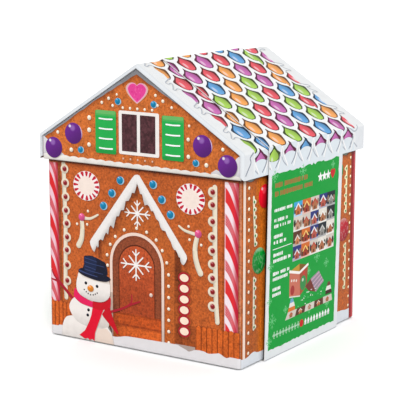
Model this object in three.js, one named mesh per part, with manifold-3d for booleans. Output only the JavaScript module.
// A house-shaped printed gift tin: a square body, a gabled lid that caps it, and a loose card sleeve.
// Millimetres, +Z up. The front gable faces -Y, the ridge runs along Y, and the eaves overhang +X and -X.
// The origin is the middle of the underside, where the sleeve's bottom strip lies on the table.
import * as THREE from "three";
import { mergeVertices } from "three/addons/utils/BufferGeometryUtils.js";
import Module from "manifold-3d";

// Driving dimensions
const BODY_WIDTH = 127; // both ways, wall to wall
const BODY_CORNER = 2.4; // radius of the upright corners
const WALL_SHOWN = 100.4; // from the tin's underside up to the lid's lower edge
const RIDGE_HEIGHT = 156.5; // from the tin's underside to the ridge
const EAVE_HEIGHT = 13.9; // upright skirt of the lid, up to the roof slope
const OVERHANG = 3.1; // how far the lid stands out past the body wall
const CARD = 0.45; // thickness of the sleeve's card
const GAP = 0.3; // air between pieces that touch

const SLEEVE_WIDTH = 80.6; // along the ridge
const SLEEVE_SHIFT = -2; // the sleeve sits a little nearer the front gable
const SLEEVE_FLARE = 2; // how far the sleeve stands off the wall at its bottom fold
const SLEEVE_FOLD = 0.9; // outer radius of the card's folds

const ROLL = 1.5; // radius of the lid's rolled front and back edges
const ROOF_FOLD = 2.4; // radius of the folds at the ridge and the eaves
const RIM = 2; // rim of roof sheet over and beside each gable panel, which is open below
const PANEL_RECESS = 1.2; // how far a gable panel sits behind its rim
const PANEL_THICKNESS = 1.2;

const SKIRT_THICKNESS = 1.2; // lid skirt, seen from below
const NECK_RISE = 6; // how far the body goes up inside the skirt
const FOOT_ROLL = 0.5; // small rounding of the wall's foot, which the tin stands on
const FOOT_RIM = 1.4; // width of the foot round the recessed bottom plate
const PLATE_RISE = 0.5; // how far the plate sits up from the foot
const PLATE_HEIGHT = 0.8;
const PLATE_BORDER = 3.5; // flat border round the plate's pressed middle
const PLATE_DISH = 0.4; // how far the middle is pressed up

const ARC_STEPS = 5;
const ROLL_STEPS = 4;

// Heights and half widths that follow from them
const footZ = CARD + GAP;
const plateZ = footZ + PLATE_RISE;
const lidZ = footZ + WALL_SHOWN;
const eaveZ = lidZ + EAVE_HEIGHT;
const ridgeZ = footZ + RIDGE_HEIGHT;
const bodyHalf = BODY_WIDTH / 2;
const lidHalf = bodyHalf + OVERHANG;
const roofAngle = Math.atan2(ridgeZ - eaveZ, lidHalf);

const wasm = await Module();
wasm.setup();

// Closed outline through the corners, each [x, y, radius], with the round ones drawn as arcs.
function roundedOutline(corners) {
  const shape = new THREE.Shape();
  corners.forEach(([x, y, radius], i) => {
    const corner = new THREE.Vector2(x, y);
    const before = corners[(i + corners.length - 1) % corners.length];
    const after = corners[(i + 1) % corners.length];
    const back = new THREE.Vector2(before[0], before[1]).sub(corner).normalize();
    const ahead = new THREE.Vector2(after[0], after[1]).sub(corner).normalize();
    const half = Math.acos(back.dot(ahead)) / 2;
    const reach = radius / Math.tan(half);
    const start = corner.clone().addScaledVector(back, reach);
    if (i === 0) shape.moveTo(start.x, start.y);
    else shape.lineTo(start.x, start.y);
    if (radius === 0) return;
    const inward = back.clone().add(ahead).normalize();
    const centre = corner.clone().addScaledVector(inward, radius / Math.sin(half));
    const end = corner.clone().addScaledVector(ahead, reach);
    const from = Math.atan2(start.y - centre.y, start.x - centre.x);
    const to = Math.atan2(end.y - centre.y, end.x - centre.x);
    shape.absarc(centre.x, centre.y, radius, from, to, false);
  });
  shape.closePath();
  return shape;
}

// Front view of the house form from a height up, set in at the sides and slopes.
function houseOutline(inset, bottom, ridgeRadius, eaveRadius) {
  const half = lidHalf - inset;
  const top = ridgeZ - inset / Math.cos(roofAngle);
  const eave = top - half * Math.tan(roofAngle);
  return roundedOutline([
    [-half, bottom, 0],
    [half, bottom, 0],
    [half, eave, eaveRadius],
    [0, top, ridgeRadius],
    [-half, eave, eaveRadius],
  ]);
}

function squareOutline(half, radius) {
  return roundedOutline([
    [-half, -half, radius],
    [half, -half, radius],
    [half, half, radius],
    [-half, half, radius],
  ]);
}

// Outline of the sleeve's outer or inner face, seen from the front.
function sleeveOutline(inset, fold) {
  const side = lidHalf + GAP + CARD - inset;
  const foot = bodyHalf + SLEEVE_FLARE - inset;
  const top = ridgeZ + (GAP + CARD - inset) / Math.cos(roofAngle);
  return roundedOutline([
    [-foot, inset, fold],
    [foot, inset, fold],
    [side, lidZ, 0],
    [side, top - side * Math.tan(roofAngle), fold],
    [0, top, fold],
    [-side, top - side * Math.tan(roofAngle), fold],
    [-side, lidZ, 0],
  ]);
}

// Extrusion along Y of an outline drawn in X and Z, between two Y positions, with rolled end edges.
function alongY(outline, front, back, roll) {
  const geometry = new THREE.ExtrudeGeometry(outline, {
    depth: back - front - 2 * roll,
    curveSegments: ARC_STEPS,
    bevelEnabled: roll > 0,
    bevelThickness: roll,
    bevelSize: roll,
    bevelOffset: -roll,
    bevelSegments: ROLL_STEPS,
  });
  geometry.rotateX(Math.PI / 2);
  geometry.translate(0, back - roll, 0);
  return geometry;
}

// Upright extrusion of an outline drawn in X and Y, between two heights.
function upright(outline, low, high, roll = 0) {
  const geometry = new THREE.ExtrudeGeometry(outline, {
    depth: high - low - 2 * roll,
    curveSegments: ARC_STEPS,
    bevelEnabled: roll > 0,
    bevelThickness: roll,
    bevelSize: roll,
    bevelOffset: -roll,
    bevelSegments: ROLL_STEPS,
  });
  geometry.translate(0, 0, low + roll);
  return geometry;
}

function solidFrom(geometry) {
  geometry.deleteAttribute("normal");
  geometry.deleteAttribute("uv");
  const merged = mergeVertices(geometry, 1e-4);
  return new wasm.Manifold(
    new wasm.Mesh({
      numProp: 3,
      vertProperties: merged.attributes.position.array,
      triVerts: new Uint32Array(merged.index.array),
    }),
  );
}

function geometryFrom(solid) {
  const mesh = solid.getMesh();
  const geometry = new THREE.BufferGeometry();
  geometry.setAttribute("position", new THREE.BufferAttribute(mesh.vertProperties, 3));
  geometry.setIndex(new THREE.BufferAttribute(mesh.triVerts, 1));
  geometry.computeVertexNormals();
  return geometry;
}

// Body: straight printed walls with a recess for the bottom plate, solid because the tin is shut.
function bodyGeometry() {
  const wall = upright(squareOutline(bodyHalf, BODY_CORNER), footZ, lidZ + NECK_RISE, FOOT_ROLL);
  const recess = upright(
    squareOutline(bodyHalf - FOOT_RIM, BODY_CORNER - FOOT_RIM),
    footZ - FOOT_ROLL,
    plateZ + PLATE_HEIGHT + GAP,
  );
  return geometryFrom(solidFrom(wall).subtract(solidFrom(recess)));
}

// Bottom plate, loose by the air gap in its recess, with a pressed middle.
function plateGeometry() {
  const half = bodyHalf - FOOT_RIM - GAP;
  const corner = BODY_CORNER - FOOT_RIM - GAP;
  const plate = upright(squareOutline(half, corner), plateZ, plateZ + PLATE_HEIGHT);
  const dish = upright(
    squareOutline(half - PLATE_BORDER, BODY_CORNER),
    plateZ - PLATE_DISH,
    plateZ + PLATE_DISH,
  );
  return geometryFrom(solidFrom(plate).subtract(solidFrom(dish)));
}

// Lid: roof sheet and skirt in one, with a recess for each gable panel and a pocket for the body.
function lidGeometry() {
  const recessDepth = PANEL_RECESS + PANEL_THICKNESS + GAP;
  const outline = houseOutline(0, lidZ, ROOF_FOLD, ROOF_FOLD);
  const recess = houseOutline(RIM, lidZ - ROLL, 0, 0);
  const pocketHalf = lidHalf - SKIRT_THICKNESS;
  const pocketCorner = BODY_CORNER;
  const pocket = upright(
    squareOutline(pocketHalf, pocketCorner),
    lidZ - NECK_RISE,
    lidZ + NECK_RISE + GAP,
  );
  return geometryFrom(
    solidFrom(alongY(outline, -lidHalf, lidHalf, ROLL))
      .subtract(solidFrom(alongY(recess, -lidHalf - ROLL, -lidHalf + recessDepth, 0)))
      .subtract(solidFrom(alongY(recess, lidHalf - recessDepth, lidHalf + ROLL, 0)))
      .subtract(solidFrom(pocket)),
  );
}

// Gable panel, loose by the air gap in its recess and level with the lid's lower edge.
function gableGeometry(front, back) {
  return alongY(houseOutline(RIM + GAP, lidZ, 0, 0), front, back, 0);
}

// Card sleeve: one closed band over the roof, down both sides and under the tin.
function sleeveGeometry() {
  const outline = sleeveOutline(0, SLEEVE_FOLD);
  outline.holes.push(sleeveOutline(CARD, SLEEVE_FOLD - CARD));
  const front = SLEEVE_SHIFT - SLEEVE_WIDTH / 2;
  return alongY(outline, front, front + SLEEVE_WIDTH, 0);
}

const printedTin = new THREE.MeshStandardMaterial({ color: 0xb5662f, roughness: 0.35, metalness: 0.1 });
const whiteTin = new THREE.MeshStandardMaterial({ color: 0xe6e9ec, roughness: 0.3, metalness: 0.1 });
const bareTin = new THREE.MeshStandardMaterial({ color: 0x8d9094, roughness: 0.35, metalness: 0.9 });
const greenCard = new THREE.MeshStandardMaterial({ color: 0x239a4b, roughness: 0.45, metalness: 0 });

function part(name, geometry, material) {
  const mesh = new THREE.Mesh(geometry, material);
  mesh.name = name;
  return mesh;
}

const tin = new THREE.Group();

const body = new THREE.Group();
body.add(part("tin_body", bodyGeometry(), printedTin));
body.add(part("bottom_plate", plateGeometry(), bareTin));
tin.add(body);

const panelBack = lidHalf - PANEL_RECESS;
const panelFront = panelBack - PANEL_THICKNESS;
const lid = new THREE.Group();
lid.add(part("lid_roof", lidGeometry(), whiteTin));
lid.add(part("gable_front", gableGeometry(-panelBack, -panelFront), printedTin));
lid.add(part("gable_back", gableGeometry(panelFront, panelBack), printedTin));
tin.add(lid);

tin.add(part("card_sleeve", sleeveGeometry(), greenCard));

export default tin;
